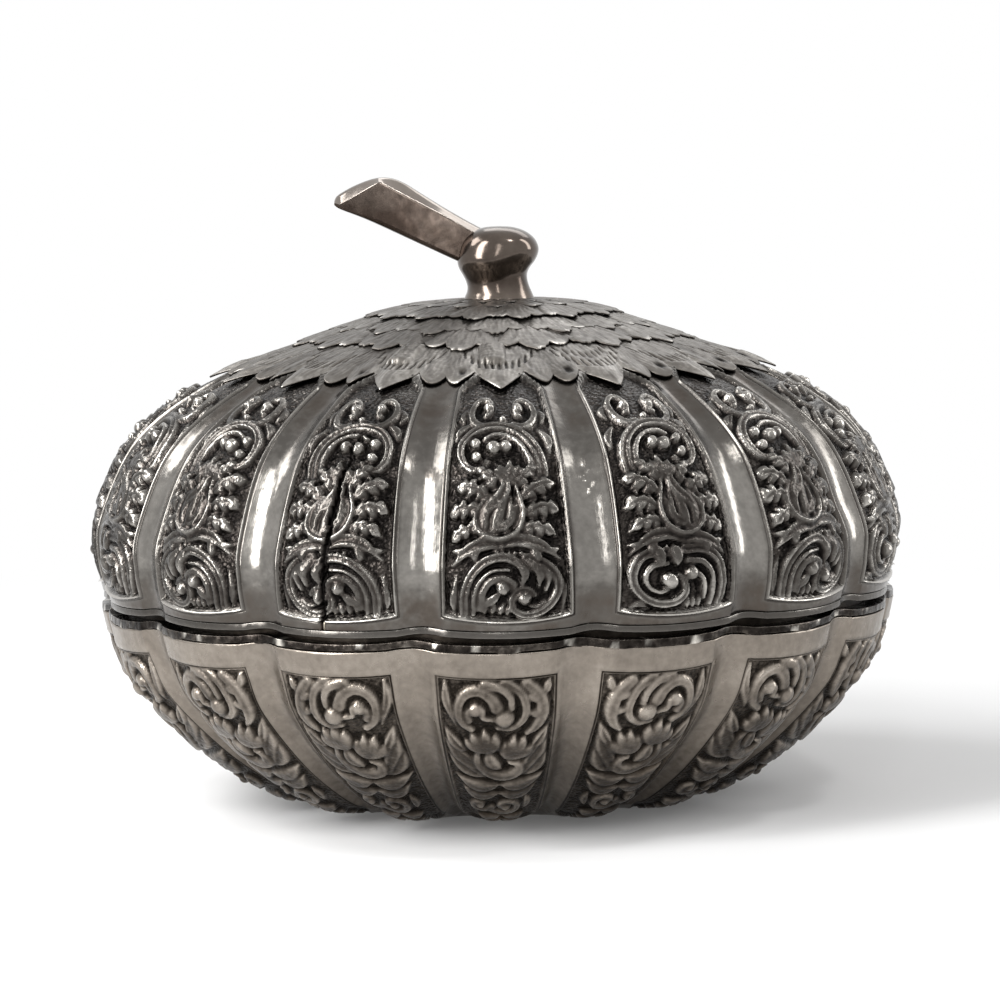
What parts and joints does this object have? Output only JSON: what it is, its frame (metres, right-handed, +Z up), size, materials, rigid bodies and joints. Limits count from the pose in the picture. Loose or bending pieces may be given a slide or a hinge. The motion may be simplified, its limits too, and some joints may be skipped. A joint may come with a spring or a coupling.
{
  "type": "paan box",
  "caption": "Lobed melon-shaped metal box with a lift-off domed lid, leaf mantle, stem handle, and a lift-out tray of hanging cups for betel ingredients.",
  "frame": {"origin": "centre of the overall box's underside, on the resting plane, on the body's axis", "axes": "+Z up along the body's axis, -Y the pictured front, the stem's blade points to -X"},
  "size_m": [0.1598, 0.1599, 0.1224],
  "materials": {
    "base_silver": "satin, lightly tarnished",
    "tarnished_silver": "burnished over dark tarnish",
    "leaf_silver": "chased, dark in the grooves",
    "solder_strip": "filed strip with solder specks",
    "cast_stem": "worn brownish casting",
    "plain_silver": "satin",
    "cup_silver": "satin, turned"
  },
  "bodies": {
    "base": {"base_bowl": "base_silver", "base_rim_strip": "solder_strip", "base_collar": "plain_silver", "tray_ledge": "plain_silver"},
    "lid": {"lid_dome": "tarnished_silver", "lid_rim_strip": "solder_strip", "leaf_mantle_outer": "leaf_silver", "leaf_mantle_inner": "leaf_silver", "stem_finial": "cast_stem", "stem_washer": "plain_silver", "stem_nut": "plain_silver"},
    "tray": {"tray": "plain_silver", "tray_knob": "plain_silver"},
    "cup_1": {"cup_1": "cup_silver"},
    "cup_2": {"cup_2": "cup_silver"},
    "cup_3": {"cup_3": "cup_silver"},
    "cup_4": {"cup_4": "cup_silver"}
  },
  "joints": [
    {"name": "lid_lift", "type": "slide", "parent": "base", "child": "lid", "axis": [0, 0, 1], "range_m": [0, 0.12]},
    {"name": "tray_lift", "type": "slide", "parent": "base", "child": "tray", "axis": [0, 0, 1], "range_m": [0, 0.014]},
    {"name": "cup_1_lift", "type": "slide", "parent": "tray", "child": "cup_1", "axis": [0, 0, 1], "range_m": [0, 0.018]},
    {"name": "cup_2_lift", "type": "slide", "parent": "tray", "child": "cup_2", "axis": [0, 0, 1], "range_m": [0, 0.018]},
    {"name": "cup_3_lift", "type": "slide", "parent": "tray", "child": "cup_3", "axis": [0, 0, 1], "range_m": [0, 0.018]},
    {"name": "cup_4_lift", "type": "slide", "parent": "tray", "child": "cup_4", "axis": [0, 0, 1], "range_m": [0, 0.018]}
  ]
}
